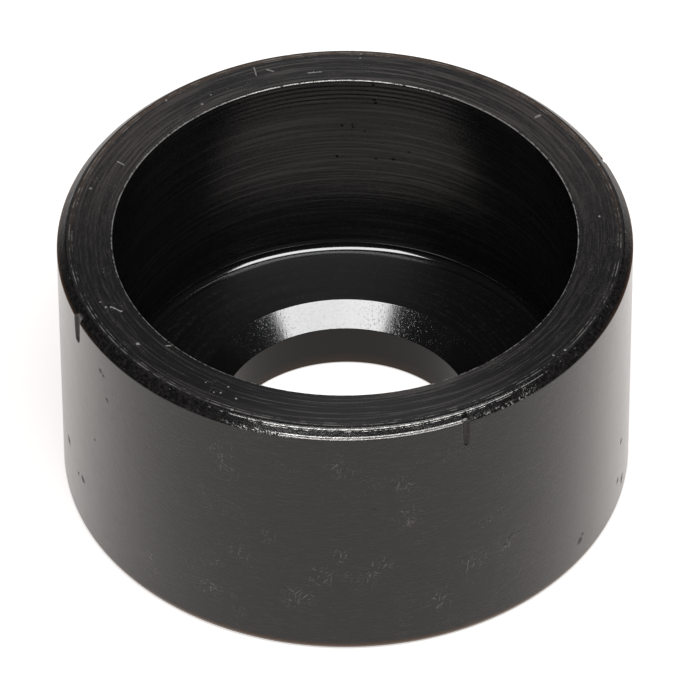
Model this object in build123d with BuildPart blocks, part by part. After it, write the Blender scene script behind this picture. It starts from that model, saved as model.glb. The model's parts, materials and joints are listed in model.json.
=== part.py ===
from build123d import *
import os
from math import hypot

# Knockout die, the cup half of a set that pulls a round hole through sheet metal.
# It is turned from one bar of tool steel. All sizes are in millimetres.
# The origin is on the axis in the plane of the base, and the mouth opens along +Z.

# Cup that takes the punch and catches the slug
opening_diameter = 34.6  # cutting mouth for a 1 in conduit hole
cup_depth = 17.1
cup_corner_radius = 0.85
wall_thickness = 4.13  # brings the outside to 42.86, which is 1 11/16 in
floor_thickness = 5.12  # brings the height to 22.22, which is 7/8 in

# Bore in the floor for the draw stud, countersunk on the cup side
stud_diameter = 19.05  # 3/4 in thread
stud_clearance = 0.08  # all round
countersink_width = 1.745  # from the bore's edge to the countersink's
countersink_angle = 100.0  # included, in degrees

# Broken edges. The inner edge of the rim cuts, so it stays sharp.
rim_chamfer = 0.7
base_edge_radius = 0.6
bore_edge_chamfer = 0.2

# Index marks struck in the wall below the rim, to line the die up with crossed lines on the sheet
mark_count = 4
mark_length = 2.2  # below the rim chamfer
mark_width = 0.7
mark_depth = 0.25
first_mark_angle = -66.0  # from +X, in degrees
cutter_margin = 0.5  # how far the mark's cutter stands out of the wall

# Worked out from the sizes above
opening_radius = opening_diameter / 2
outer_radius = opening_radius + wall_thickness
height = floor_thickness + cup_depth
bore_radius = stud_diameter / 2 + stud_clearance

# Cutter for one mark, drawn with the die's radius along +X and the wall at X = 0. It is a V that moves
# out along a slope as it goes down, so the notch is deepest at the chamfer and ends in a point.
slope_length = hypot(mark_length, mark_depth)
cutter_reach = 1 + rim_chamfer / mark_length  # the slope goes on up through the chamfer
top_depth = mark_depth * cutter_reach
side_slope = mark_width / 2 / mark_depth
with BuildPart() as mark_cutter:
    with BuildSketch(Plane.XY.offset(height)):
        with BuildLine():
            Polyline(
                (-top_depth, 0),
                (cutter_margin, side_slope * (top_depth + cutter_margin)),
                (cutter_margin, -side_slope * (top_depth + cutter_margin)),
                close=True,
            )
        make_face()
    extrude(amount=slope_length * cutter_reach, dir=(mark_depth, 0, -mark_length))

with BuildPart() as knockout_die:
    Cylinder(outer_radius, height, align=(Align.CENTER, Align.CENTER, Align.MIN))

    # Cup, with the tool's nose radius left in the corner of its floor
    with Locations((0, 0, height)):
        Hole(opening_radius, depth=cup_depth)
    cup_corner = knockout_die.edges().filter_by(GeomType.CIRCLE).group_by(Axis.Z)[1]
    fillet(cup_corner, cup_corner_radius)

    # Stud bore, countersunk so that the stud finds its way in
    with Locations((0, 0, floor_thickness)):
        CounterSinkHole(
            bore_radius,
            bore_radius + countersink_width,
            depth=floor_thickness,
            counter_sink_angle=countersink_angle,
        )

    # Broken edges
    circles = knockout_die.edges().filter_by(GeomType.CIRCLE).group_by(Axis.Z)
    base_circles = circles[0].sort_by(SortBy.RADIUS)
    rim_circles = circles[-1].sort_by(SortBy.RADIUS)
    chamfer(base_circles[0], bore_edge_chamfer)
    fillet(base_circles[-1], base_edge_radius)
    chamfer(rim_circles[-1], rim_chamfer)

    with PolarLocations(outer_radius, mark_count, start_angle=first_mark_angle):
        add(mark_cutter.part, mode=Mode.SUBTRACT)

knockout_die.part.label = "knockout_die"

os.makedirs("parts", exist_ok=True)
export_step(knockout_die.part, "parts/knockout_die.step")
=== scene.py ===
import json
from math import cos, pi, radians, sin, tan

import bmesh
import bpy
from mathutils import Matrix, Vector


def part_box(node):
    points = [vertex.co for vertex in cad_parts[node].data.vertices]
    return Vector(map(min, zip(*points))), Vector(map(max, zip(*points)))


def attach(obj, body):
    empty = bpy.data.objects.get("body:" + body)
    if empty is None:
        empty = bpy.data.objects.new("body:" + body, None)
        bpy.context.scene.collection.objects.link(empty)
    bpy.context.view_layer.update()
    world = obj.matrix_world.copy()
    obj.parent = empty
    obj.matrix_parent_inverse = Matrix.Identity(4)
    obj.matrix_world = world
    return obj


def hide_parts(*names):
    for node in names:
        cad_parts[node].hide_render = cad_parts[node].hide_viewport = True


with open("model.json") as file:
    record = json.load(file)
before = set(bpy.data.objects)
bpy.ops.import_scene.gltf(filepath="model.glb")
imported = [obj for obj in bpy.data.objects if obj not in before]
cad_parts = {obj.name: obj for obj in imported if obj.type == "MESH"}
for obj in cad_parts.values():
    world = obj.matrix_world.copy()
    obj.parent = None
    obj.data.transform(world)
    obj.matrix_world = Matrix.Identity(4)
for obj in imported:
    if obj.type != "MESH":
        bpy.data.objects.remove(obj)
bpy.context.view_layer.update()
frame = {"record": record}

# Sizes are in metres, in the frame's own axes. MM turns a size that is easier to read in millimetres.
MM = 0.001

NODE = "knockout_die"
mounts = {mount["name"]: mount for mount in frame["record"]["mounts"]}
_, die_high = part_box(NODE)

OUTER = die_high.x
HEIGHT = die_high.z
OPENING = mounts["die_opening"]["dims"]["r_mm"] * MM
BORE = mounts["stud_bore"]["dims"]["r_mm"] * MM

# The die's other sizes, as it was turned
CORNER = 0.85 * MM
FLOOR = 5.12 * MM
COUNTERSINK_WIDTH = 1.745 * MM
COUNTERSINK_ANGLE = radians(100)
RIM_CHAMFER = 0.7 * MM
BASE_ROUND = 0.6 * MM
BORE_CHAMFER = 0.2 * MM
COUNTERSINK = BORE + COUNTERSINK_WIDTH
COUNTERSINK_DEPTH = COUNTERSINK_WIDTH / tan(COUNTERSINK_ANGLE / 2)
WALL_TOP = HEIGHT - RIM_CHAMFER

# How far each edge is rounded by use
RIM_EDGE = 0.3 * MM
SHOULDER_EDGE = 0.16 * MM
MOUTH_EDGE = 0.06 * MM
KEEN_EDGE = 0.04 * MM

# How finely the outline is stepped along the marks and the feed marks, and how wide the rows are that
# keep the flats flat beside a rounded corner
MARK_ROWS = 26
FEED_ROWS = 42
GUARD_ROW = 0.1 * MM

# The index marks, struck by hand at about a quarter turn apart, each with its own width. Roundness
# shapes a mark's foot, and its bottom is flat over a share of its width.
MARK_LENGTH = 2.2 * MM
MARK_DEPTH = 0.22 * MM
MARK_ROUNDNESS = 0.14
MARK_FLAT = 0.45
MARKS = {
    radians(-65.9): 0.62 * MM,
    radians(-157.3): 1.15 * MM,
    radians(24.2): 0.7 * MM,
    radians(114.0): 0.8 * MM,
}

# The lip beside a mark: its place in half widths, how narrow its crest is, and where it fades at its end
LIP_PLACE = 1.2
LIP_CREST = -12.0
LIP_FADE = 0.3

# The coarse feed marks that the boring tool left inside the mouth, how far below the rim they start, and
# how near the cup's wall a point still counts as on it
FEED_PITCH = 0.43 * MM
FEED_DEPTH = 0.008 * MM
FEED_LENGTH = 3.2 * MM
FEED_START = (0.05 * MM, 0.2 * MM)
CUP_SKIN = 0.05 * MM

# The dents along the chamfer: the noise that shows as a dent, and how far they reach from its face
KNOCKED = (0.62, 0.74)
KNOCK_REACH = (0.25 * MM, 0.02 * MM)

# Zones of the die by the least and greatest radius and height of a face's middle. A later zone goes over
# an earlier one. FAR is more than the die reaches.
FAR = 1.0
SLACK = 0.01 * MM
CORNER_START = OPENING - CORNER
RIM_OUTSIDE = OUTER - RIM_CHAMFER - RIM_EDGE * tan(pi / 8)
SHOULDER = WALL_TOP - SHOULDER_EDGE * tan(pi / 8)
BASE_EDGE = OUTER - BASE_ROUND
ZONES = {
    "turned_wall": (0.0, FAR, -FAR, FAR),
    "faced_base": (BORE, BASE_EDGE, -FAR, SLACK),
    "rim_chamfer": (RIM_OUTSIDE, FAR, SHOULDER, FAR),
    "faced_rim": (OPENING - SLACK, RIM_OUTSIDE, HEIGHT - 2 * MOUTH_EDGE, FAR),
    "bored_wall": (BORE, OPENING + SLACK, FLOOR - SLACK, HEIGHT - MOUTH_EDGE),
    "cup_corner": (CORNER_START, OPENING, FLOOR - SLACK, FLOOR + CORNER),
    "cup_floor": (BORE, CORNER_START, FLOOR - SLACK, FLOOR + CORNER),
    "countersink": (BORE, COUNTERSINK, FLOOR - COUNTERSINK_DEPTH, FLOOR),
    "stud_bore": (0.0, BORE + SLACK, 0.0, FLOOR - COUNTERSINK_DEPTH),
}

# Inputs of the tree that turns the die
RING_COUNTS = {"Segments": 640, "Marks": len(MARKS)}
RING_SIZES = {
    "Outer Radius": OUTER,
    "Height": HEIGHT,
    "Opening Radius": OPENING,
    "Rim Chamfer": RIM_CHAMFER,
    "Wall Top": WALL_TOP,
    "First Mark": min(MARKS),
    "Crowding": 0.78,
    "Weld": 0.001 * MM,
    "Mark Length": MARK_LENGTH,
    "Mark Depth": MARK_DEPTH,
    "Lip Height": 0.02 * MM,
    "Feed Pitch": FEED_PITCH,
    "Feed Depth": FEED_DEPTH,
    "Feed Length": FEED_LENGTH,
    "Dent Scale": 900.0,
    "Dent Depth": 0.035 * MM,
    "Seed": 4.0,
}

# Colours of the finishes
OXIDE = (0.0052, 0.005, 0.0054, 1)
DULLED = (0.056, 0.0493, 0.0475, 1)
BROWNED = (0.13, 0.065, 0.028, 1)
STEEL = (0.66, 0.65, 0.63, 1)

# How metallic thin oxide and bare steel look, and how rough bare steel is
BROWNED_METAL = 0.35
WORN_METAL = 0.75
WORN_ROUGHNESS = 0.3

# How far the tool's feed tilts the rim's rings along the radius, and the cup's along the height
RIM_LEAN = -0.1
CUP_LEAN = 0.05

# The film of oil starts and is full at these turns away from the viewer, where it shines this much
OILED_TURN = (0.33, 0.8)
OIL_SHINE = 0.92

# Angles round the axis, all at the front, where bare steel stands partly for wear and partly for a
# painted highlight:
# where the chamfer's lower line is rubbed through, where its upper line is, where it is grainy, and
# where it sparkles as painted glints. The last two are how far from the front it starts to brown and is
# brown.
RUB_AND_HIGHLIGHT = (radians(-103), radians(-66))
POLISH_AND_HIGHLIGHT = (radians(-115), radians(-48))
GRAINY = (radians(-113), radians(-101))
BESIDE_MARK = (radians(-64), radians(-50))
PAINTED_SPARKLE = (radians(-122), radians(-35))
CHAMFER_SIDES = (0.9, 1.5)

# Heights in millimetres: the chamfer's grainy band, and where the oxide browns on the wall, the chamfer
# and the stud bore
GRAINY_BAND = (21.5, 21.72)
WALL_BROWNING = (0.95, 0.25)
CHAMFER_BROWNING = (21.75, 21.55)
BORE_BROWNING = (1.3, 0.1)

# Radii in millimetres: where the wall lies deep enough to be struck, where the rim's outer band begins,
# and where the base browns
STRUCK = (OUTER / MM - 0.02, OUTER / MM - 0.1)
RIM_BAND = (RIM_OUTSIDE / MM - 0.45, RIM_OUTSIDE / MM - 0.1)
BASE_BROWNING = (BASE_EDGE / MM - 0.5, BASE_EDGE / MM)

# The back of the rim, by how far back a point lies in radii. There the rim carries painted sheen and a
# painted highlight on its mouth edge, and its nicks a painted shade.
RIM_SHEEN_BACK = (-0.2, 0.7)

# The countersink is cleanest round this angle, and gritty past the second of these distances from it.
# Its streaks are fine round the axis and long down the slope.
CLEAN_MIDDLE = radians(100)
CLEAN_REACH = (radians(10), radians(24))
SINK_STREAKS = (60.0, 60.0, 2.5)

# Lines worn along the chamfer and along the rim's outer edge. Each has its height or radius in
# millimetres, its width and how far it is worn through.
CHAMFER_LINES = [(22.1, 0.03, 0.62), (22.0, 0.02, 0.52)]
SHOULDER_LINES = [(21.69, 0.028, 0.77), (21.58, 0.03, 0.8)]
RIM_LINES = [(20.5, 0.05, 0.52), (20.28, 0.035, 0.48)]

# Past this many of its own sizes a dent doesn't count. Its ragged edge lies where a noise, times the
# first of these and plus the second, says.
DENT_REACH = 9.0
RAGGED_EDGE = (4.0, -1.05)

# Small dents, each at an angle in degrees and a radius or height in millimetres, with its size
RIM_DENTS = [
    (203.7, 19.25, 0.12),
    (204.2, 18.95, 0.09),
    (206.4, 18.42, 0.11),
    (201.7, 19.43, 0.08),
    (217.6, 19.24, 0.16),
    (237.2, 18.87, 0.064),
    (240.4, 19.47, 0.072),
    (241.8, 19.27, 0.08),
    (242.4, 18.47, 0.088),
    (245.6, 19.35, 0.096),
    (246.2, 20.52, 0.16),
    (86.2, 20.39, 0.13),
    (86.4, 19.87, 0.1),
    (97.1, 18.43, 0.11),
    (109.9, 20.03, 0.08),
    (122.6, 18.67, 0.09),
    (126.1, 18.19, 0.12),
    (131.5, 20.27, 0.13),
    (164.4, 19.71, 0.13),
    (5.5, 19.03, 0.09),
    (21.8, 20.51, 0.1),
    (319.0, 20.15, 0.09),
    (321.8, 20.44, 0.11),
]
WALL_DENTS = [
    (-147.2, 19.4, 0.24),
    (-146.3, 19.2, 0.22),
    (-145.2, 17.05, 0.2),
    (-150.5, 11.4, 0.14),
    (-166.0, 6.2, 0.45),
    (-157.0, 5.2, 0.35),
    (-159.5, 5.0, 0.2),
    (-103.9, 11.05, 0.1),
    (-84.6, 14.5, 0.12),
    (-60.8, 10.9, 0.16),
    (-35.6, 2.5, 0.36),
    (-34.6, 2.9, 0.2),
    (-14.5, 2.0, 0.45),
    (-18.0, 3.0, 0.3),
    (-15.8, 6.4, 0.3),
]
WALL_SCUFFS = [
    (-119.0, 4.2, 1.62),
    (-133.5, 3.6, 1.76),
    (-112.0, 2.6, 0.94),
    (-118.0, 7.1, 1.22),
    (-115.0, 18.6, 1.76),
    (-114.6, 16.8, 1.49),
    (-95.5, 7.4, 1.76),
    (-99.6, 5.2, 1.89),
    (-87.0, 7.6, 1.76),
    (-83.4, 8.6, 1.35),
    (-91.5, 9.8, 1.08),
    (-106.0, 11.1, 1.08),
    (-111.9, 8.8, 1.22),
    (-78.4, 16.8, 1.49),
    (-77.8, 13.4, 1.76),
    (-91.0, 18.9, 1.76),
    (-71.5, 4.0, 1.76),
    (-64.5, 7.2, 1.62),
    (-61.3, 10.8, 0.94),
    (-56.5, 7.4, 1.35),
]
CUP_DENTS = [
    (82.7, 21.85, 0.16),
    (82.4, 20.35, 0.13),
    (82.1, 20.1, 0.12),
    (90.6, 17.65, 0.13),
    (88.0, 17.75, 0.12),
    (87.7, 17.5, 0.1),
    (84.8, 17.1, 0.11),
    (91.9, 14.55, 0.14),
    (82.0, 14.35, 0.12),
    (77.6, 14.5, 0.14),
    (73.5, 15.55, 0.1),
]

# Short scratches in the same measures, from one place to another, each with its width
RIM_SCRATCHES = [
    ((204.2, 18.87), (206.3, 18.47), 0.07),
    ((222.3, 17.75), (223.0, 17.5), 0.08),
    ((95.3, 18.38), (98.5, 18.38), 0.07),
    ((106.2, 19.15), (107.4, 19.5), 0.08),
    ((109.9, 20.0), (110.3, 19.1), 0.06),
    ((41.8, 19.8), (42.0, 19.4), 0.11),
    ((154.1, 18.9), (154.5, 18.3), 0.07),
]
WALL_SCRATCHES = [
    ((-57.6, 7.4), (-55.4, 8.3), 0.09),
    ((-55.4, 8.3), (-53.4, 8.2), 0.07),
]

# Hair scratches in the scuffs: the ways they lean, how they are drawn out, and the noise that shows. The
# last is how far the pale grains among them are held back.
HAIR_LEANS = (radians(50), radians(-35), radians(80))
HAIR_STRETCH = (1.1, 4.0, 9.0)
HAIR_SHOWN = (0.635, 0.7)
GRAINS_HELD = 0.96

# Hair scratches from handling: each way has its seed, its lean in radians and its thinness
HANDLING_HAIRS = [(1.0, 0.4, 9.0), (2.0, 1.9, 7.0), (3.0, 2.6, 11.0)]

# Where the camera stood and what it aimed at
CAMERA_PLACE = Vector((0.0, -0.47073, 0.45282))
CAMERA_TARGET = Vector((0.000178, 0.0, 0.010456))
CAMERA_ROLL = radians(-0.335)
CAMERA_LENS = 441.7
CAMERA_SENSOR = 36.0

# The table, a hair below the die's base
TABLE_HALF = 0.3
TABLE_HEIGHT = -0.01 * MM
TABLE_COLOUR = (0.84, 0.79, 0.755, 1)
TABLE_GLOW = {"Is Camera Ray": 0.6, "Is Glossy Ray": 0.2, "Is Transmission Ray": 0.2}

# The room that the die reflects: how bright it is low down, high up and at its sides, and between which
# directions its back, middle and lower edge fade in and its level falls from low to high. The last is
# how much it lights what is dull.
ROOM_LOW = 0.8
ROOM_HIGH = 0.2
ROOM_SIDES = 0.015
ROOM_BACK = (0.1, 0.7)
ROOM_MIDDLE = (0.6, 0.25)
ROOM_EDGE = (0.0, 0.12)
ROOM_FALL = (0.2, 0.65)
FILL_LIGHT = 0.2

# The soft box over the die
SOFT_BOX_PLACE = Vector((0.045, -0.195, 0.458))
SOFT_BOX_SIZE = (0.53, 0.215)
SOFT_BOX_LEVEL = 6.0


def add_node(tree, kind, *values, **settings):
    """A node with its settings made first, then its sockets filled in order. None leaves a socket."""
    made = tree.nodes.new(kind)
    for name, value in settings.items():
        setattr(made, name, value)
    for socket, value in zip(made.inputs, values):
        fill(tree, socket, value)
    return made


def fill(tree, socket, value):
    """Links a socket to another, or sets its value."""
    if value is None:
        return
    if isinstance(value, bpy.types.NodeSocket):
        tree.links.new(value, socket)
    else:
        socket.default_value = value


def maths(tree, operation, *values, clamp=False):
    """The result of a Math node."""
    return add_node(tree, "ShaderNodeMath", *values, operation=operation, use_clamp=clamp).outputs[0]


def product(tree, *values):
    """All the values multiplied."""
    total = values[0]
    for value in values[1:]:
        total = maths(tree, "MULTIPLY", total, value)
    return total


def summed(tree, *shares):
    """The sum of (value, factor) pairs and plain numbers."""
    total = 0.0
    for share in shares:
        if isinstance(share, tuple):
            total = maths(tree, "MULTIPLY_ADD", share[0], share[1], total)
        else:
            total = maths(tree, "ADD", total, share)
    return total


def greatest(tree, *values):
    """The greatest of the values."""
    most = values[0]
    for value in values[1:]:
        most = maths(tree, "MAXIMUM", most, value)
    return most


def vector_maths(tree, operation, *values):
    """The vector result of a Vector Math node."""
    return add_node(tree, "ShaderNodeVectorMath", *values, operation=operation).outputs["Vector"]


def vector_measure(tree, operation, *values):
    """The number that a Vector Math node gives, such as a length."""
    return add_node(tree, "ShaderNodeVectorMath", *values, operation=operation).outputs["Value"]


def scaled(tree, vector, factor):
    """A vector times a number."""
    made = add_node(tree, "ShaderNodeVectorMath", vector, operation="SCALE")
    fill(tree, made.inputs["Scale"], factor)
    return made.outputs["Vector"]


def parts_of(tree, vector):
    """The three numbers of a vector."""
    return add_node(tree, "ShaderNodeSeparateXYZ", vector).outputs


def vector_of(tree, x, y, z):
    """A vector from three numbers."""
    return add_node(tree, "ShaderNodeCombineXYZ", x, y, z).outputs[0]


def ramp_between(tree, value, low, high, from_value=0.0, to_value=1.0):
    """value carried smoothly from from_value at low to to_value at high, and held past both."""
    made = tree.nodes.new("ShaderNodeMapRange")
    made.interpolation_type = "SMOOTHSTEP"
    for name, part in zip(
        ("Value", "From Min", "From Max", "To Min", "To Max"),
        (value, low, high, from_value, to_value),
    ):
        fill(tree, made.inputs[name], part)
    return made.outputs["Result"]


def between(tree, value, low, high, soft):
    """1 where value lies between low and high, with soft ends."""
    rise = ramp_between(tree, value, low - soft, low + soft)
    fall = ramp_between(tree, value, high + soft, high - soft)
    return maths(tree, "MULTIPLY", rise, fall)


def mix_colour(tree, factor, first, second):
    """A colour part way between two."""
    made = add_node(tree, "ShaderNodeMix", data_type="RGBA")
    for index, value in ((0, factor), (6, first), (7, second)):
        fill(tree, made.inputs[index], value)
    return made.outputs[2]


def mix_value(tree, factor, first, second):
    """A number part way between two."""
    made = add_node(tree, "ShaderNodeMix", data_type="FLOAT")
    for index, value in ((0, factor), (2, first), (3, second)):
        fill(tree, made.inputs[index], value)
    return made.outputs[0]


def noise(tree, vector, scale, detail, roughness, seed=0.0):
    """The value of a noise texture."""
    made = add_node(tree, "ShaderNodeTexNoise", noise_dimensions="4D")
    for name, value in (
        ("Vector", vector),
        ("W", seed),
        ("Scale", scale),
        ("Detail", detail),
        ("Roughness", roughness),
    ):
        fill(tree, made.inputs[name], value)
    return made.outputs["Fac"]


def new_group(name, kind, inputs, outputs):
    """An empty node group with named sockets, given as (name, socket type, default) and (name, type)."""
    tree = bpy.data.node_groups.new(name, kind)
    for title, socket_type, default in inputs:
        socket = tree.interface.new_socket(name=title, in_out="INPUT", socket_type=socket_type)
        if default is not None:
            socket.default_value = default
    for title, socket_type in outputs:
        tree.interface.new_socket(name=title, in_out="OUTPUT", socket_type=socket_type)
    return tree, tree.nodes.new("NodeGroupInput").outputs, tree.nodes.new("NodeGroupOutput").inputs


def place_group(tree, group, **values):
    """The outputs of a group set in a tree, its inputs filled by name, with underscores for spaces."""
    kind = "GeometryNodeGroup" if group.bl_idname == "GeometryNodeTree" else "ShaderNodeGroup"
    made = add_node(tree, kind, node_tree=group)
    for name, value in values.items():
        fill(tree, made.inputs[name.replace("_", " ")], value)
    return made.outputs


def put_in_scene(name, data):
    """A new object in the scene."""
    made = bpy.data.objects.new(name, data)
    bpy.context.scene.collection.objects.link(made)
    return made


def run(start, end, steps):
    """Points inside a straight stretch of the outline, without its ends."""
    shares = [step / steps for step in range(1, steps)]
    return [tuple(a + (b - a) * share for a, b in zip(start, end)) for share in shares]


def rounded(corner, before, after, radius, steps):
    """The points of a rounded corner between two straight stretches, with a row on each side that keeps
    the flats flat."""
    point, back, ahead = Vector(corner), Vector(before), Vector(after)
    to_back, to_ahead = (back - point).normalized(), (ahead - point).normalized()
    half = to_back.angle(to_ahead) / 2
    reach = radius / tan(half)
    centre = point + (to_back + to_ahead).normalized() * (radius / sin(half))
    first, last = point + to_back * reach, point + to_ahead * reach
    first_spoke, last_spoke = (first - centre).normalized(), (last - centre).normalized()
    spokes = [first_spoke.slerp(last_spoke, step / steps) for step in range(1, steps)]
    bend = [centre + spoke * radius for spoke in spokes]
    guard = min(radius, GUARD_ROW)
    points = [first + to_back * guard, first, *bend, last, last + to_ahead * guard]
    return [tuple(point) for point in points]


def outside_outline():
    """The outline from the base's bore edge out and up to the rim."""
    base_inner = (BORE + BORE_CHAMFER, 0)
    base_outer = (OUTER, 0)
    wall_top = (OUTER, WALL_TOP)
    rim_outer = (OUTER - RIM_CHAMFER, HEIGHT)
    mark_end = (OUTER, WALL_TOP - MARK_LENGTH - 2 * SHOULDER_EDGE)
    mark_start = (OUTER, WALL_TOP - SHOULDER_EDGE)
    points = rounded(base_inner, (BORE, BORE_CHAMFER), base_outer, KEEN_EDGE, 2)
    points += run(base_inner, base_outer, 4)
    points += rounded(base_outer, base_inner, wall_top, BASE_ROUND, 7)
    points += run(base_outer, mark_end, 4)[1:]
    points += [mark_end] + run(mark_end, mark_start, MARK_ROWS)
    points += rounded(wall_top, mark_end, rim_outer, SHOULDER_EDGE, 5)
    points += run(wall_top, rim_outer, 4)[1:-1]
    points += rounded(rim_outer, wall_top, (OPENING, HEIGHT), RIM_EDGE, 6)
    return points + run(rim_outer, (OPENING, HEIGHT), 6)[1:]


def inside_outline():
    """The outline from the mouth down the cup and through the bore."""
    mouth = (OPENING, HEIGHT)
    feed_end = (OPENING, HEIGHT - FEED_LENGTH)
    cup_corner = (OPENING, FLOOR)
    sink_edge = (COUNTERSINK, FLOOR)
    bore_top = (BORE, FLOOR - COUNTERSINK_DEPTH)
    bore_end = (BORE, BORE_CHAMFER)
    base_inner = (BORE + BORE_CHAMFER, 0)
    points = rounded(mouth, (OUTER, HEIGHT), feed_end, MOUTH_EDGE, 3)
    points += run((OPENING, HEIGHT - 2 * MOUTH_EDGE), feed_end, FEED_ROWS)[1:] + [feed_end]
    points += run(feed_end, cup_corner, 4)[:-1]
    points += rounded(cup_corner, mouth, sink_edge, CORNER, 10)
    points += run((OPENING - 2 * CORNER, FLOOR), (COUNTERSINK + 2 * KEEN_EDGE, FLOOR), 3)
    points += rounded(sink_edge, cup_corner, bore_top, KEEN_EDGE, 2)
    points += run(sink_edge, bore_top, 4)
    points += rounded(bore_top, sink_edge, bore_end, KEEN_EDGE, 2)
    points += run(bore_top, bore_end, 3)
    return points + rounded(bore_end, bore_top, base_inner, KEEN_EDGE, 2)


def outline_mesh():
    """The die's half section as a closed loop of edges, radius along X and height along Y."""
    mesh = bpy.data.meshes.new("die_outline")
    points = outside_outline() + inside_outline()
    edges = [(index, (index + 1) % len(points)) for index in range(len(points))]
    mesh.from_pydata([(radius, height, 0) for radius, height in points], edges, [])
    return mesh


def profile_of(tree, position):
    """Radius, angle and height of a point."""
    apart = parts_of(tree, position)
    radius = vector_measure(tree, "LENGTH", vector_of(tree, apart[0], apart[1], 0.0))
    return radius, maths(tree, "ARCTAN2", apart[1], apart[0]), apart[2]


def here(tree):
    """Radius, angle and height of each point of the mesh as it is by now."""
    return profile_of(tree, add_node(tree, "GeometryNodeInputPosition").outputs[0])


def point_at(tree, radius, angle, height):
    """The point with that radius, angle and height."""
    across = maths(tree, "MULTIPLY", radius, maths(tree, "COSINE", angle))
    along = maths(tree, "MULTIPLY", radius, maths(tree, "SINE", angle))
    return vector_of(tree, across, along, height)


def ring_grid(tree, given):
    """A grid with a row for each outline point and a column for each step round the axis, rolled up."""
    outline = given["Geometry"]
    position = add_node(tree, "GeometryNodeInputPosition").outputs[0]
    rows = add_node(tree, "GeometryNodeAttributeDomainSize", outline, component="MESH").outputs[0]
    columns = maths(tree, "ADD", given["Segments"], 1.0)
    grid = add_node(tree, "GeometryNodeMeshGrid", 1.0, 1.0, columns, maths(tree, "ADD", rows, 1.0))
    spot = parts_of(tree, position)
    row = maths(tree, "ROUND", maths(tree, "MULTIPLY", maths(tree, "ADD", spot[1], 0.5), rows))
    outline_point = add_node(
        tree,
        "GeometryNodeSampleIndex",
        outline,
        position,
        maths(tree, "MODULO", row, rows),
        data_type="FLOAT_VECTOR",
    )
    section = parts_of(tree, outline_point.outputs["Value"])

    # The columns crowd together at the marks
    turn = maths(tree, "MULTIPLY", maths(tree, "ADD", spot[0], 0.5), 2 * pi)
    waves = maths(tree, "MULTIPLY", maths(tree, "SUBTRACT", turn, given["First Mark"]), given["Marks"])
    crowd = maths(tree, "DIVIDE", given["Crowding"], given["Marks"])
    angle = maths(tree, "SUBTRACT", turn, maths(tree, "MULTIPLY", maths(tree, "SINE", waves), crowd))
    rolled = point_at(tree, section[0], angle, section[1])
    ring = add_node(tree, "GeometryNodeSetPosition", grid.outputs["Mesh"], None, rolled).outputs[0]
    return add_node(tree, "GeometryNodeMergeByDistance", ring, None, given["Weld"]).outputs[0]


def struck_mark_group():
    """One index mark: a groove that is deepest at the chamfer and rounded at its foot, with a lip of
    metal pushed up beside it."""
    names = ["Radius", "Angle", "Height", "Mark Angle", "Mark Width", "Mark Length", "Mark Depth"]
    names += ["Outer Radius", "Wall Top", "Lip Height", "Weld"]
    tree, given, result = new_group(
        "struck_mark",
        "GeometryNodeTree",
        [(name, "NodeSocketFloat", 0.0) for name in names],
        [("Radius", "NodeSocketFloat")],
    )
    turned = maths(tree, "WRAP", maths(tree, "SUBTRACT", given["Angle"], given["Mark Angle"]), pi, -pi)
    aside = maths(tree, "MULTIPLY", maths(tree, "ABSOLUTE", turned), given["Outer Radius"])
    below = maths(tree, "SUBTRACT", given["Wall Top"], given["Height"])
    left = maths(tree, "SUBTRACT", 1.0, maths(tree, "DIVIDE", below, given["Mark Length"]))
    left = maths(tree, "MAXIMUM", left, 0.0)
    spread = maths(tree, "POWER", left, MARK_ROUNDNESS)
    widest = maths(tree, "MULTIPLY", given["Mark Width"], 0.5)
    half = maths(tree, "MULTIPLY_ADD", widest, spread, given["Weld"])
    flat = maths(tree, "MULTIPLY", half, MARK_FLAT)
    sunk = product(tree, ramp_between(tree, aside, half, flat), spread, given["Mark Depth"])
    notch = maths(tree, "MINIMUM", given["Radius"], maths(tree, "SUBTRACT", given["Outer Radius"], sunk))

    # The lip stands just outside the notch and fades at its lower end
    lip_middle = maths(tree, "MULTIPLY", half, LIP_PLACE)
    out = maths(tree, "DIVIDE", maths(tree, "SUBTRACT", aside, lip_middle), half)
    crest = maths(tree, "EXPONENT", product(tree, out, out, LIP_CREST))
    within = maths(tree, "SUBTRACT", given["Outer Radius"], given["Mark Length"])
    on_wall = product(
        tree,
        ramp_between(tree, below, 0.0, given["Lip Height"]),
        ramp_between(tree, given["Radius"], within, given["Outer Radius"]),
    )
    lip = product(tree, crest, on_wall, ramp_between(tree, left, 0.0, LIP_FADE), given["Lip Height"])
    fill(tree, result["Radius"], maths(tree, "ADD", notch, lip))
    return tree


def strike_marks(tree, given, mark_group, radius, angle, height):
    """The radius after every index mark is struck."""
    for mark_angle, mark_width in MARKS.items():
        radius = place_group(
            tree,
            mark_group,
            Radius=radius,
            Angle=angle,
            Height=height,
            Mark_Angle=mark_angle,
            Mark_Width=mark_width,
            Mark_Length=given["Mark Length"],
            Mark_Depth=given["Mark Depth"],
            Outer_Radius=given["Outer Radius"],
            Wall_Top=given["Wall Top"],
            Lip_Height=given["Lip Height"],
            Weld=given["Weld"],
        )["Radius"]
    return radius


def cut_feed_marks(tree, given, radius, height):
    """The radius after the shallow rings inside the mouth, which fade towards the floor."""
    just_inside = maths(tree, "ADD", given["Opening Radius"], CUP_SKIN)
    in_cup = ramp_between(tree, radius, just_inside, given["Opening Radius"])
    from_rim = maths(tree, "SUBTRACT", given["Height"], height)
    fade_start = maths(tree, "MULTIPLY", given["Feed Length"], 0.5)
    in_feed = ramp_between(tree, from_rim, given["Feed Length"], fade_start)
    past_edge = ramp_between(tree, from_rim, *FEED_START)
    turns = maths(tree, "DIVIDE", from_rim, given["Feed Pitch"])
    wave = maths(tree, "COSINE", maths(tree, "MULTIPLY", turns, 2 * pi))
    cut = product(tree, in_cup, in_feed, past_edge, wave, given["Feed Depth"])
    return maths(tree, "ADD", radius, cut)


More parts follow.
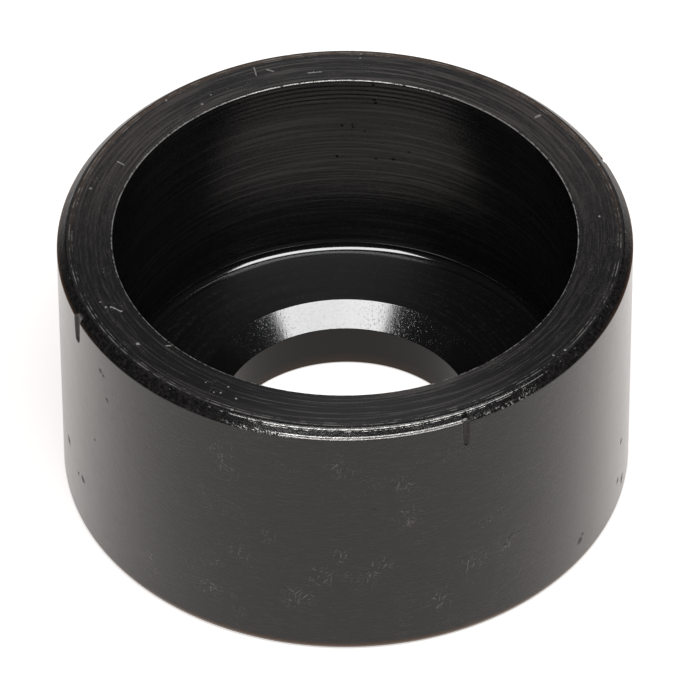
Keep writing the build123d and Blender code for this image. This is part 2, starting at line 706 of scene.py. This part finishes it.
def knock_edges(tree, given, ring):
    """Dents in the rim's chamfer, where the die has been knocked."""
    radius, _, height = here(tree)
    place = add_node(tree, "GeometryNodeInputPosition").outputs[0]
    lumps = noise(tree, place, given["Dent Scale"], detail=3.0, roughness=0.5, seed=given["Seed"])

    # Radius and height together are the same all over the chamfer's face
    corner = maths(tree, "ADD", given["Outer Radius"], given["Height"])
    face = maths(tree, "SUBTRACT", corner, given["Rim Chamfer"])
    from_face = maths(tree, "SUBTRACT", maths(tree, "ADD", radius, height), face)
    near_face = ramp_between(tree, maths(tree, "ABSOLUTE", from_face), *KNOCK_REACH)
    press = product(tree, ramp_between(tree, lumps, *KNOCKED), near_face, given["Dent Depth"], -1.0)
    normal = add_node(tree, "GeometryNodeInputNormal").outputs[0]
    offset = scaled(tree, normal, press)
    return add_node(tree, "GeometryNodeSetPosition", ring, None, None, offset).outputs[0]


def set_finishes(tree, given, ring):
    """Gives the faces of each zone their material."""
    radius, _, height = here(tree)
    for name, (low_radius, high_radius, low_height, high_height) in ZONES.items():
        inside = product(
            tree,
            maths(tree, "GREATER_THAN", radius, low_radius),
            maths(tree, "LESS_THAN", radius, high_radius),
            maths(tree, "GREATER_THAN", height, low_height),
            maths(tree, "LESS_THAN", height, high_height),
        )
        ring = add_node(tree, "GeometryNodeSetMaterial", ring, inside, given[name]).outputs[0]
    return ring


def turning_tree():
    """Turns an outline about the axis into a closed ring, strikes the index marks, cuts the feed marks,
    knocks the edges and gives each zone its finish."""
    inputs = [("Geometry", "NodeSocketGeometry", None)]
    inputs += [(name, "NodeSocketInt", value) for name, value in RING_COUNTS.items()]
    inputs += [(name, "NodeSocketFloat", value) for name, value in RING_SIZES.items()]
    inputs += [(name, "NodeSocketMaterial", None) for name in ZONES]
    tree, given, result = new_group(
        "turned_ring", "GeometryNodeTree", inputs, [("Geometry", "NodeSocketGeometry")]
    )
    ring = ring_grid(tree, given)
    radius, angle, height = here(tree)
    struck = strike_marks(tree, given, struck_mark_group(), radius, angle, height)
    cut = cut_feed_marks(tree, given, struck, height)
    moved = point_at(tree, cut, angle, height)
    ring = add_node(tree, "GeometryNodeSetPosition", ring, None, moved).outputs[0]
    ring = knock_edges(tree, given, ring)
    ring = add_node(tree, "GeometryNodeSetShadeSmooth", ring).outputs[0]
    ring = add_node(tree, "GeometryNodeRealizeInstances", ring).outputs[0]
    fill(tree, result["Geometry"], set_finishes(tree, given, ring))
    return tree


def turned_die(finishes):
    """The die as one closed mesh, turned from its outline."""
    blank = put_in_scene("die_blank", outline_mesh())
    lathe = blank.modifiers.new("turning", "NODES")
    lathe.node_group = turning_tree()
    for item in lathe.node_group.interface.items_tree:
        if item.item_type == "SOCKET" and item.in_out == "INPUT" and item.name in finishes:
            lathe[item.identifier] = finishes[item.name]
    graph = bpy.context.evaluated_depsgraph_get()
    mesh = bpy.data.meshes.new_from_object(blank.evaluated_get(graph), depsgraph=graph)
    bpy.data.objects.remove(blank)
    if mesh.materials[0] is None:
        mesh.materials.pop(index=0)
    return put_in_scene("turned_die", mesh)


def die_place_group():
    """Where a point lies on the die, in millimetres."""
    outputs = [(name, "NodeSocketFloat") for name in ("Radius", "Height", "Angle")]
    outputs += [(name, "NodeSocketVector") for name in ("Around", "Point")]
    tree, given, result = new_group("die_place", "ShaderNodeTree", [], outputs)
    point = scaled(tree, add_node(tree, "ShaderNodeTexCoord").outputs["Object"], 1 / MM)
    radius, angle, height = profile_of(tree, point)
    flat = vector_maths(tree, "MULTIPLY", point, (1, 1, 0))
    fill(tree, result["Radius"], radius)
    fill(tree, result["Height"], height)
    fill(tree, result["Angle"], angle)
    fill(tree, result["Around"], vector_maths(tree, "NORMALIZE", flat))
    fill(tree, result["Point"], point)
    return tree


def turning_lines_group():
    """Fine rings left by the lathe tool. They lie across Along and change slowly on their way around."""
    tree, given, result = new_group(
        "turning_lines",
        "ShaderNodeTree",
        [
            ("Along", "NodeSocketFloat", 0.0),
            ("Around", "NodeSocketVector", None),
            ("Pitch", "NodeSocketFloat", 0.1),
            ("Change", "NodeSocketFloat", 1.0),
        ],
        [("Lines", "NodeSocketFloat"), ("Ridges", "NodeSocketFloat")],
    )
    across = maths(tree, "DIVIDE", given["Along"], given["Pitch"])
    sides = parts_of(tree, scaled(tree, given["Around"], given["Change"]))
    lines = noise(tree, vector_of(tree, sides[0], sides[1], across), 1.0, detail=3.0, roughness=0.7)
    fill(tree, result["Lines"], lines)
    fill(tree, result["Ridges"], ramp_between(tree, lines, 0.47, 0.62))
    return tree


def edge_wear_group():
    """Where an edge is rubbed through to bare metal, in broken patches along it."""
    tree, given, result = new_group(
        "edge_wear",
        "ShaderNodeTree",
        [
            ("From Edge", "NodeSocketFloat", 0.0),
            ("Width", "NodeSocketFloat", 0.1),
            ("Amount", "NodeSocketFloat", 0.5),
            ("Point", "NodeSocketVector", None),
            ("Grain", "NodeSocketFloat", 2.0),
        ],
        [("Worn", "NodeSocketFloat")],
    )
    patches = noise(tree, given["Point"], given["Grain"], detail=4.0, roughness=0.65)
    reach = maths(tree, "DIVIDE", maths(tree, "ABSOLUTE", given["From Edge"]), given["Width"])
    kept = maths(tree, "SUBTRACT", 1.0, given["Amount"])
    level = maths(tree, "MULTIPLY_ADD", maths(tree, "MULTIPLY", reach, reach), 0.2, kept)
    over = maths(tree, "SUBTRACT", patches, level)
    fill(tree, result["Worn"], ramp_between(tree, over, -0.04, 0.04))
    return tree


def handling_marks_group():
    """Specks and hair scratches from handling."""
    tree, given, result = new_group(
        "handling_marks",
        "ShaderNodeTree",
        [
            ("Point", "NodeSocketVector", None),
            ("Speck Size", "NodeSocketFloat", 0.15),
            ("Speck Share", "NodeSocketFloat", 0.2),
            ("Scratch Share", "NodeSocketFloat", 0.2),
        ],
        [("Specks", "NodeSocketFloat"), ("Scratches", "NodeSocketFloat")],
    )
    fineness = maths(tree, "DIVIDE", 1.0, given["Speck Size"])
    grains = noise(tree, given["Point"], fineness, detail=3.0, roughness=0.6)
    clusters = noise(tree, given["Point"], 0.45, detail=3.0, roughness=0.6, seed=7.0)
    bar = maths(tree, "SUBTRACT", 0.7, maths(tree, "MULTIPLY", given["Speck Share"], 0.3))
    gathered = ramp_between(tree, clusters, bar, maths(tree, "ADD", bar, 0.08))
    specks = maths(tree, "MULTIPLY", gathered, ramp_between(tree, grains, 0.58, 0.66))
    fill(tree, result["Specks"], specks)
    hairs = 0.0
    for seed, lean, thinness in HANDLING_HAIRS:
        leant = add_node(tree, "ShaderNodeVectorRotate", given["Point"], rotation_type="AXIS_ANGLE")
        leant.inputs["Axis"].default_value = (0.3 * lean, 1.0, 0.5)
        leant.inputs["Angle"].default_value = lean
        drawn = vector_maths(tree, "MULTIPLY", leant.outputs[0], (thinness, 0.5, thinness))
        one_way = noise(tree, drawn, 1.0, detail=1.0, roughness=0.5, seed=seed)
        hairs = maths(tree, "MAXIMUM", hairs, one_way)
    bar = maths(tree, "SUBTRACT", 0.86, maths(tree, "MULTIPLY", given["Scratch Share"], 0.2))
    fill(tree, result["Scratches"], ramp_between(tree, hairs, bar, maths(tree, "ADD", bar, 0.03)))
    return tree


def scratch_group():
    """How far a point lies from a short line from Start to End, in widths of the line."""
    tree, given, result = new_group(
        "short_scratch",
        "ShaderNodeTree",
        [
            ("Point", "NodeSocketVector", None),
            ("Start", "NodeSocketVector", None),
            ("End", "NodeSocketVector", None),
            ("Width", "NodeSocketFloat", 0.1),
        ],
        [("Gap", "NodeSocketFloat")],
    )
    line = vector_maths(tree, "SUBTRACT", given["End"], given["Start"])
    reach = vector_maths(tree, "SUBTRACT", given["Point"], given["Start"])
    along = vector_measure(tree, "DOT_PRODUCT", reach, line)
    share = maths(tree, "DIVIDE", along, vector_measure(tree, "DOT_PRODUCT", line, line), clamp=True)
    aside = vector_maths(tree, "SUBTRACT", reach, scaled(tree, line, share))
    gap = vector_measure(tree, "LENGTH", aside)
    fill(tree, result["Gap"], maths(tree, "DIVIDE", gap, given["Width"]))
    return tree


DIE_PLACE = die_place_group()
TURNING_LINES = turning_lines_group()
EDGE_WEAR = edge_wear_group()
HANDLING_MARKS = handling_marks_group()
SHORT_SCRATCH = scratch_group()


def new_finish(name, **settings):
    """A material with constant settings on its shader, its tree, and the place of a point on the die."""
    material = bpy.data.materials.new(name)
    material.use_nodes = True
    tree = material.node_tree
    shader = tree.nodes["Principled BSDF"]
    for title, value in settings.items():
        shader.inputs[title.replace("_", " ")].default_value = value
    return material, tree, shader, place_group(tree, DIE_PLACE)


def dress(tree, shader, roughness, relief, worn=None, browned=None, dulled=None):
    """Fills the shader. relief is a height in millimetres, worn is bare steel, browned is thin oxide and
    dulled is scuffed oxide. What a finish has none of stays a plain value on the shader."""
    colour, metal = OXIDE, 0.0
    if dulled is not None:
        colour = mix_colour(tree, dulled, colour, DULLED)
    if browned is not None:
        colour = mix_colour(tree, browned, colour, BROWNED)
        metal = maths(tree, "MULTIPLY", browned, BROWNED_METAL)
    if worn is not None:
        colour = mix_colour(tree, worn, colour, STEEL)
        metal = maths(tree, "MULTIPLY_ADD", worn, WORN_METAL, metal)
        roughness = mix_value(tree, worn, roughness, WORN_ROUGHNESS)
    fill(tree, shader.inputs["Base Color"], colour)
    fill(tree, shader.inputs["Metallic"], metal)
    fill(tree, shader.inputs["Roughness"], roughness)
    bump = tree.nodes.new("ShaderNodeBump")
    bump.inputs["Distance"].default_value = MM
    fill(tree, bump.inputs["Height"], relief)
    fill(tree, shader.inputs["Normal"], bump.outputs["Normal"])


def oiled(tree, shader, pits):
    """A film of oil that shines where the surface turns away, and not in its pits."""
    facing = add_node(tree, "ShaderNodeLayerWeight", 0.5).outputs["Facing"]
    film = ramp_between(tree, facing, *OILED_TURN, 0.0, OIL_SHINE)
    smooth = maths(tree, "SUBTRACT", 1.0, pits)
    fill(tree, shader.inputs["Coat Weight"], maths(tree, "MULTIPLY", film, smooth))


def tool_rings(tree, place, along, pitch, change):
    """Rings from the lathe tool across along, at a pitch in millimetres."""
    return place_group(
        tree, TURNING_LINES, Along=along, Around=place["Around"], Pitch=pitch, Change=change
    )


def handled(tree, place, speck_size, speck_share, scratch_share):
    """Specks and hair scratches from handling, the specks' size in millimetres."""
    return place_group(
        tree,
        HANDLING_MARKS,
        Point=place["Point"],
        Speck_Size=speck_size,
        Speck_Share=speck_share,
        Scratch_Share=scratch_share,
    )


def oxide_grain(tree, point, fineness):
    """The fine grain of the oxide."""
    return noise(tree, point, fineness, detail=3.0, roughness=0.7, seed=3.0)


def nearest_of(tree, point, dents, place_of):
    """How far the nearest dent lies from a point, in its own sizes."""
    nearest = DENT_REACH
    for angle, other, size in dents:
        gap = vector_measure(tree, "DISTANCE", point, place_of(radians(angle), other))
        nearest = maths(tree, "MINIMUM", nearest, maths(tree, "DIVIDE", gap, size))
    return nearest


def knocks(tree, point, dents, scratches, place_of, core):
    """Ragged dents and short scratches, drawn where place_of puts them. core is the share of each that
    is full."""
    nearest = nearest_of(tree, point, dents, place_of)
    for start, end, width in scratches:
        ends = [place_of(radians(angle), other) for angle, other in (start, end)]
        scratch = place_group(
            tree, SHORT_SCRATCH, Point=point, Start=ends[0], End=ends[1], Width=width
        )
        nearest = maths(tree, "MINIMUM", nearest, scratch["Gap"])
    lumps = noise(tree, point, 8.0, detail=3.0, roughness=0.7)
    ragged = maths(tree, "MULTIPLY_ADD", lumps, *RAGGED_EDGE)
    return ramp_between(tree, nearest, ragged, maths(tree, "MULTIPLY", ragged, core))


def scuffed(tree, point, scuffs, place_of):
    """Patches where the oxide is scuffed, with hair scratches and a few pale grains."""
    nearest = nearest_of(tree, point, scuffs, place_of)
    grains = noise(tree, point, 7.0, detail=3.0, roughness=0.7, seed=9.0)
    hairs = maths(tree, "MULTIPLY", grains, GRAINS_HELD)
    for lean in HAIR_LEANS:
        turned = add_node(tree, "ShaderNodeVectorRotate", point, rotation_type="Y_AXIS")
        turned.inputs["Angle"].default_value = lean
        drawn = vector_maths(tree, "MULTIPLY", turned.outputs[0], HAIR_STRETCH)
        one_way = noise(tree, drawn, 1.0, detail=1.5, roughness=0.6, seed=lean)
        hairs = maths(tree, "MAXIMUM", hairs, one_way)
    shown = ramp_between(tree, hairs, *HAIR_SHOWN)
    return product(tree, ramp_between(tree, nearest, 1.0, 0.1), shown)


def on_cylinder(radius):
    """Places an angle and a height on a cylinder of that radius, in millimetres."""
    return lambda angle, height: (radius / MM * cos(angle), radius / MM * sin(angle), height)


def on_rim(angle, radius):
    """Places an angle and a radius on the rim, in millimetres."""
    return (radius * cos(angle), radius * sin(angle), HEIGHT / MM)


def worn_lines(tree, lines, across, point, share, grain):
    """Lines worn through along an edge, in broken stretches. share adds to how far each is worn."""
    worn = 0.0
    for at, width, amount in lines:
        line = place_group(
            tree,
            EDGE_WEAR,
            From_Edge=maths(tree, "SUBTRACT", across, at),
            Width=width,
            Amount=maths(tree, "ADD", share, amount),
            Point=point,
            Grain=grain,
        )
        worn = maths(tree, "MAXIMUM", worn, line["Worn"])
    return worn


def turned_wall():
    """The outer wall: fine rings, hair scratches, pits and scuffs, and a browned lower edge."""
    material, tree, shader, place = new_finish("turned_wall", IOR=1.5, Coat_Roughness=0.05)
    point, height = place["Point"], place["Height"]
    rings = tool_rings(tree, place, height, pitch=0.3, change=1.5)
    fine = tool_rings(tree, place, height, pitch=0.12, change=14.0)
    marks = handled(tree, place, speck_size=0.14, speck_share=0.6, scratch_share=0.5)
    struck = ramp_between(tree, place["Radius"], *STRUCK)
    pits = knocks(tree, point, WALL_DENTS, WALL_SCRATCHES, on_cylinder(OUTER), core=0.5)
    scuffs = scuffed(tree, point, WALL_SCUFFS, on_cylinder(OUTER))
    mottle = noise(tree, point, 1.3, detail=4.0, roughness=0.7, seed=5.0)
    grain = oxide_grain(tree, vector_maths(tree, "MULTIPLY", point, (1.0, 1.0, 2.2)), 3.2)
    dulled = summed(
        tree,
        -0.54,
        (struck, 0.5),
        (marks["Specks"], 0.4),
        (marks["Scratches"], 0.3),
        (grain, 0.9),
        (fine["Ridges"], 0.3),
        (scuffs, 0.5),
    )
    browned = ramp_between(tree, height, *WALL_BROWNING, 0.0, 0.9)
    relief = summed(
        tree,
        (rings["Lines"], 0.001),
        (fine["Lines"], 0.018),
        (grain, 0.03),
        (marks["Specks"], -0.04),
        (marks["Scratches"], -0.01),
        (scuffs, -0.01),
        (pits, -0.16),
    )
    roughness = summed(tree, (mottle, 0.1), 0.05, (struck, 0.5), (pits, 0.3))
    worn = maths(tree, "MULTIPLY", scuffs, 0.17)
    dress(tree, shader, roughness, relief, worn, browned, dulled)
    marred = summed(tree, (marks["Specks"], 0.3), (grain, 1.2), -0.65, (struck, 0.7))
    oiled(tree, shader, maths(tree, "MAXIMUM", marred, pits, clamp=True))
    return material


def rim_chamfer():
    """The chamfer round the rim, rubbed to bright lines at the front and sparkling beside them. This
    bare steel is placed only at the front, so it is partly wear and partly a painted highlight and
    painted glints.
    """
    material, tree, shader, place = new_finish("rim_chamfer", IOR=1.5)
    point, height, angle = place["Point"], place["Height"], place["Angle"]
    rings = tool_rings(tree, place, height, pitch=0.09, change=1.2)
    marks = handled(tree, place, speck_size=0.09, speck_share=0.45, scratch_share=0.2)
    grain = oxide_grain(tree, point, 4.0)

    # The upper and the lower line: bare steel only at the front, partly wear and partly a painted
    # highlight
    polished = between(tree, angle, *POLISH_AND_HIGHLIGHT, soft=0.15)
    rubbed = between(tree, angle, *RUB_AND_HIGHLIGHT, soft=0.03)
    less_polish_and_highlight = maths(tree, "MULTIPLY_ADD", polished, 0.26, -0.26)
    less_rub_and_highlight = maths(tree, "MULTIPLY_ADD", rubbed, 0.5, -0.5)
    upper = worn_lines(tree, CHAMFER_LINES, height, point, less_polish_and_highlight, grain=2.2)
    lower = worn_lines(tree, SHOULDER_LINES, height, point, less_rub_and_highlight, grain=1.2)

    # The bright grains beside them: bare steel specks placed only at the front, partly wear and partly
    # painted glints
    in_band = between(tree, height, *GRAINY_BAND, soft=0.05)
    bits = ramp_between(tree, noise(tree, point, 5.5, detail=2.0, roughness=0.6, seed=2.0), 0.52, 0.6)
    beside = maths(tree, "MULTIPLY", between(tree, angle, *BESIDE_MARK, soft=0.05), 0.5)
    grainy = maths(tree, "MAXIMUM", between(tree, angle, *GRAINY, soft=0.06), beside)
    painted_sparks = product(tree, marks["Specks"], between(tree, angle, *PAINTED_SPARKLE, soft=0.2), 0.55)
    worn = greatest(tree, upper, lower, product(tree, in_band, bits, grainy), painted_sparks)

    from_front = maths(tree, "ABSOLUTE", maths(tree, "ADD", angle, pi / 2))
    at_sides = ramp_between(tree, from_front, *CHAMFER_SIDES)
    browned = product(tree, at_sides, ramp_between(tree, height, *CHAMFER_BROWNING), 0.5)
    relief = summed(tree, (rings["Lines"], 0.003), (marks["Specks"], -0.006), (grain, 0.02))
    dulled = summed(tree, -0.6, (grain, 1.4))
    dress(tree, shader, 0.2, relief, worn, browned, dulled)
    return material


def faced_rim():
    """The flat rim: rings from facing that catch the light across them, painted as a sheen at the front
    and the back, nicks, and a worn mouth edge with a painted highlight at the back. The back is painted
    paler, a painted sheen.
    """
    material, tree, shader, place = new_finish(
        "faced_rim", IOR=1.45, Anisotropic=0.8, Anisotropic_Rotation=0.25
    )
    point, radius = place["Point"], place["Radius"]
    rings = tool_rings(tree, place, radius, pitch=0.19, change=1.8)
    fine = tool_rings(tree, place, radius, pitch=0.1, change=14.0)
    marks = handled(tree, place, speck_size=0.13, speck_share=0.5, scratch_share=0.4)
    grain = oxide_grain(tree, point, 5.0)
    back = parts_of(tree, place["Around"])[1]
    at_back = ramp_between(tree, back, *RIM_SHEEN_BACK)
    # Painted sheen: the outer band is browned and paler only at the back
    painted_back_band = maths(tree, "MULTIPLY", ramp_between(tree, radius, *RIM_BAND), at_back)

    # Bare steel at the mouth's edge, in the nicks, along the outer edge and in the specks. The mouth's
    # edge is painted brighter at the back, a painted highlight, and the nicks dimmer there, a painted
    # shade.
    mouth_wear_and_highlight = place_group(
        tree,
        EDGE_WEAR,
        From_Edge=maths(tree, "SUBTRACT", radius, OPENING / MM),
        Width=0.1,
        Amount=0.58,
        Point=point,
        Grain=3.4,
    )["Worn"]
    mouth_wear_and_highlight = maths(tree, "MULTIPLY", mouth_wear_and_highlight, maths(tree, "MULTIPLY_ADD", at_back, 0.6, 0.35))
    nicks = knocks(tree, point, RIM_DENTS, RIM_SCRATCHES, on_rim, core=0.6)
    # Painted shade: the nicks' bare steel is held back at the back of the rim
    bright_nicks = maths(tree, "MULTIPLY", nicks, maths(tree, "MULTIPLY_ADD", at_back, -0.55, 1.0))
    lines = worn_lines(tree, RIM_LINES, radius, point, share=0.0, grain=1.2)
    faint_lines = maths(tree, "MULTIPLY", lines, 0.25)
    specks = maths(tree, "MULTIPLY", marks["Specks"], 0.16)
    worn = greatest(tree, mouth_wear_and_highlight, bright_nicks, faint_lines, specks)

    # Painted sheen: the rings are painted to show most at the front and the back
    depth = maths(tree, "MULTIPLY", back, back)
    shown = summed(tree, depth, 0.15, (at_back, 0.5))
    painted_ring_sheen = maths(tree, "MULTIPLY", shown, maths(tree, "ADD", rings["Ridges"], -0.35))
    # The rim is painted paler at the back, a painted sheen
    dulled = summed(
        tree,
        -0.44,
        (depth, -0.16),
        (painted_ring_sheen, 1.0),
        (fine["Ridges"], 0.35),
        (grain, 1.0),
        (marks["Scratches"], 0.3),
        (painted_back_band, 0.5),
        (at_back, 0.57),
    )
    browned = maths(tree, "MULTIPLY", painted_back_band, 0.35)
    relief = summed(
        tree,
        (rings["Lines"], 0.025),
        (fine["Lines"], 0.012),
        (marks["Specks"], -0.006),
        (nicks, -0.03),
        (radius, RIM_LEAN),
    )
    roughness = maths(tree, "MULTIPLY_ADD", rings["Lines"], 0.2, 0.37)
    dress(tree, shader, roughness, relief, worn, browned, dulled)
    return material


def bored_wall():
    """The cup's wall: a dull bore with fine irregular rings and small pits."""
    material, tree, shader, place = new_finish("bored_wall", IOR=1.33, Coat_Roughness=0.2)
    point, height = place["Point"], place["Height"]
    rings = tool_rings(tree, place, height, pitch=0.22, change=1.1)
    marks = handled(tree, place, speck_size=0.16, speck_share=0.35, scratch_share=0.2)
    pits = knocks(tree, point, CUP_DENTS, [], on_cylinder(OPENING), core=0.0)
    grain = oxide_grain(tree, point, 4.0)
    dulled = summed(tree, -0.4, (rings["Ridges"], 0.12), (grain, 0.8))
    relief = summed(
        tree,
        (rings["Lines"], 0.03),
        (grain, 0.01),
        (marks["Specks"], -0.01),
        (pits, -0.2),
        (height, CUP_LEAN),
    )
    roughness = maths(tree, "MULTIPLY_ADD", rings["Lines"], 0.16, 0.09)
    dress(tree, shader, roughness, relief, dulled=dulled)
    film = summed(tree, -0.07, (rings["Ridges"], 0.5), (grain, 0.5), (pits, -1.0))
    fill(tree, shader.inputs["Coat Weight"], maths(tree, "MAXIMUM", film, 0.0, clamp=True))
    return material


def cup_corner():
    """The rounded corner at the foot of the cup, burnished by the tool's nose."""
    material, tree, shader, place = new_finish(
        "cup_corner", IOR=1.9, Coat_Weight=1.0, Coat_Roughness=0.08
    )
    along = maths(tree, "SUBTRACT", place["Height"], place["Radius"])
    rings = tool_rings(tree, place, along, pitch=0.12, change=0.7)
    roughness = maths(tree, "MULTIPLY_ADD", rings["Lines"], 0.08, 0.06)
    dress(tree, shader, roughness, maths(tree, "MULTIPLY", rings["Lines"], 0.0008))
    return material


def cup_floor():
    """The cup's floor: faced like the rim, and seldom touched."""
    material, tree, shader, place = new_finish(
        "cup_floor", IOR=1.41, Anisotropic=0.8, Anisotropic_Rotation=0.25
    )
    rings = tool_rings(tree, place, place["Radius"], pitch=0.3, change=1.0)
    marks = handled(tree, place, speck_size=0.14, speck_share=0.45, scratch_share=0.2)
    grain = oxide_grain(tree, place["Point"], 4.0)
    dulled = summed(tree, -0.54, (rings["Ridges"], 0.13), (marks["Specks"], 0.25), (grain, 0.95))
    relief = summed(tree, (rings["Lines"], 0.0065), (marks["Specks"], -0.008), (grain, 0.004))
    roughness = maths(tree, "MULTIPLY_ADD", rings["Lines"], 0.1, 0.36)
    dress(tree, shader, roughness, relief, dulled=dulled)
    return material


def faced_base():
    """The flat base that the die stands on: faced like the rim, and browned towards its outer edge."""
    material, tree, shader, place = new_finish(
        "faced_base", IOR=1.45, Anisotropic=0.8, Anisotropic_Rotation=0.25
    )
    rings = tool_rings(tree, place, place["Radius"], pitch=0.19, change=1.8)
    marks = handled(tree, place, speck_size=0.13, speck_share=0.5, scratch_share=0.5)
    grain = oxide_grain(tree, place["Point"], 5.0)
    dulled = summed(
        tree,
        -0.5,
        (rings["Ridges"], 0.35),
        (marks["Scratches"], 0.3),
        (marks["Specks"], 0.2),
        (grain, 0.9),
    )
    browned = ramp_between(tree, place["Radius"], *BASE_BROWNING, 0.0, 0.9)
    relief = summed(tree, (rings["Lines"], 0.015), (marks["Specks"], -0.006))
    roughness = maths(tree, "MULTIPLY_ADD", rings["Lines"], 0.2, 0.3)
    dress(tree, shader, roughness, relief, browned=browned, dulled=dulled)
    return material


def countersink():
    """The countersink round the stud bore, left bright under the oxide with a satin grain."""
    material, tree, shader, place = new_finish(
        "countersink", IOR=2.05, Coat_Weight=0.6, Coat_Roughness=0.12
    )
    sides = parts_of(tree, place["Around"])
    down_slope = vector_of(tree, sides[0], sides[1], place["Height"])
    streaks = vector_maths(tree, "MULTIPLY", down_slope, SINK_STREAKS)
    grain = noise(tree, streaks, 1.0, detail=3.0, roughness=0.7)
    grit = ramp_between(tree, noise(tree, place["Point"], 6.5, detail=2.0, roughness=0.6), 0.56, 0.72)
    from_middle = maths(tree, "ABSOLUTE", maths(tree, "SUBTRACT", place["Angle"], CLEAN_MIDDLE))
    gritty = ramp_between(tree, from_middle, *CLEAN_REACH, 0.35, 1.0)
    relief = summed(tree, (grain, 0.005), (maths(tree, "MULTIPLY", grit, gritty), 0.006))
    roughness = maths(tree, "MULTIPLY_ADD", grain, 0.1, 0.1)
    dress(tree, shader, roughness, relief)
    return material


def stud_bore():
    """The stud bore and its lower chamfer, with thin oxide at the bottom edge."""
    material, tree, shader, place = new_finish("stud_bore", IOR=1.48)
    rings = tool_rings(tree, place, place["Height"], pitch=0.2, change=0.7)
    browned = ramp_between(tree, place["Height"], *BORE_BROWNING, 0.0, 0.3)
    roughness = maths(tree, "MULTIPLY_ADD", rings["Lines"], 0.1, 0.1)
    relief = maths(tree, "MULTIPLY", rings["Lines"], 0.0015)
    dress(tree, shader, roughness, relief, browned=browned)
    return material


def ray_strength(tree, rays, strengths):
    """Light Path's rays, each with its own strength, added up."""
    total = 0.0
    for name, strength in strengths.items():
        total = maths(tree, "MULTIPLY_ADD", rays[name], strength, total)
    return total


def pale_table():
    """The pale table that the die stands on. It shows white and keeps the die's soft shadow."""
    mesh = bpy.data.meshes.new("table")
    shape = bmesh.new()
    bmesh.ops.create_grid(shape, x_segments=1, y_segments=1, size=TABLE_HALF)
    shape.to_mesh(mesh)
    shape.free()
    table = put_in_scene("table", mesh)
    table.location.z = TABLE_HEIGHT
    material = bpy.data.materials.new("pale_table")
    material.use_nodes = True
    tree = material.node_tree
    shader = tree.nodes["Principled BSDF"]
    shader.inputs["Base Color"].default_value = TABLE_COLOUR
    shader.inputs["Roughness"].default_value = 1.0
    shader.inputs["Specular IOR Level"].default_value = 0.0
    shader.inputs["Emission Color"].default_value = (1, 1, 1, 1)

    # Reflections of the table dim towards the middle, where the die shades it
    away = vector_measure(tree, "LENGTH", add_node(tree, "ShaderNodeTexCoord").outputs["Object"])
    shade = maths(tree, "SUBTRACT", ramp_between(tree, away, BORE, OUTER), 1.0)
    rays = add_node(tree, "ShaderNodeLightPath").outputs
    glossy = maths(tree, "MULTIPLY", rays["Is Glossy Ray"], shade)
    seen = ray_strength(tree, rays, TABLE_GLOW)
    glow = maths(tree, "MULTIPLY_ADD", glossy, TABLE_GLOW["Is Glossy Ray"], seen)
    fill(tree, shader.inputs["Emission Strength"], glow)
    mesh.materials.append(material)


def studio_world():
    """White behind the die as the camera sees it. What the die reflects is a dim room, palest low down
    at the back."""
    world = bpy.data.worlds.new("studio")
    bpy.context.scene.world = world
    world.use_nodes = True
    tree = world.node_tree
    way = parts_of(tree, add_node(tree, "ShaderNodeTexCoord").outputs["Generated"])
    at_back = ramp_between(tree, way[1], *ROOM_BACK)
    in_middle = ramp_between(tree, maths(tree, "ABSOLUTE", way[0]), *ROOM_MIDDLE)
    over_floor = ramp_between(tree, way[2], *ROOM_EDGE)
    level = ramp_between(tree, way[2], *ROOM_FALL, ROOM_LOW, ROOM_HIGH)
    room = maths(tree, "ADD", product(tree, at_back, in_middle, over_floor, level), ROOM_SIDES)
    rays = add_node(tree, "ShaderNodeLightPath").outputs
    seen = maths(tree, "MULTIPLY_ADD", rays["Is Glossy Ray"], room, rays["Is Camera Ray"])
    strength = maths(tree, "MULTIPLY_ADD", rays["Is Diffuse Ray"], FILL_LIGHT, seen)
    background = tree.nodes["Background"]
    background.inputs["Color"].default_value = (1, 1, 1, 1)
    fill(tree, background.inputs["Strength"], strength)


def soft_box():
    """One wide soft box over the die and a little in front of it."""
    light = bpy.data.lights.new("soft_box", "AREA")
    light.shape = "RECTANGLE"
    light.size, light.size_y = SOFT_BOX_SIZE
    light.energy = SOFT_BOX_LEVEL * pi * light.size * light.size_y
    lamp = put_in_scene("soft_box", light)
    lamp.location = SOFT_BOX_PLACE
    lamp.rotation_mode = "QUATERNION"
    lamp.rotation_quaternion = (-SOFT_BOX_PLACE).to_track_quat("-Z", "Y")


def photo_camera():
    """The camera at the photograph's viewing angle."""
    lens = bpy.data.cameras.new("camera")
    lens.lens = CAMERA_LENS
    lens.sensor_width = CAMERA_SENSOR
    lens.clip_start = 0.01
    lens.clip_end = 10.0
    camera = put_in_scene("camera", lens)
    camera.location = CAMERA_PLACE
    camera.rotation_mode = "QUATERNION"
    aim = (CAMERA_TARGET - CAMERA_PLACE).to_track_quat("-Z", "Y")
    camera.rotation_quaternion = aim @ Matrix.Rotation(CAMERA_ROLL, 3, "Z").to_quaternion()
    bpy.context.scene.camera = camera


FINISHES = (
    turned_wall,
    faced_base,
    rim_chamfer,
    faced_rim,
    bored_wall,
    cup_corner,
    cup_floor,
    countersink,
    stud_bore,
)
die = turned_die({make.__name__: make() for make in FINISHES})
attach(die, "root")
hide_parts(NODE)

pale_table()
studio_world()
soft_box()
photo_camera()
bpy.context.scene.view_settings.view_transform = "Standard"
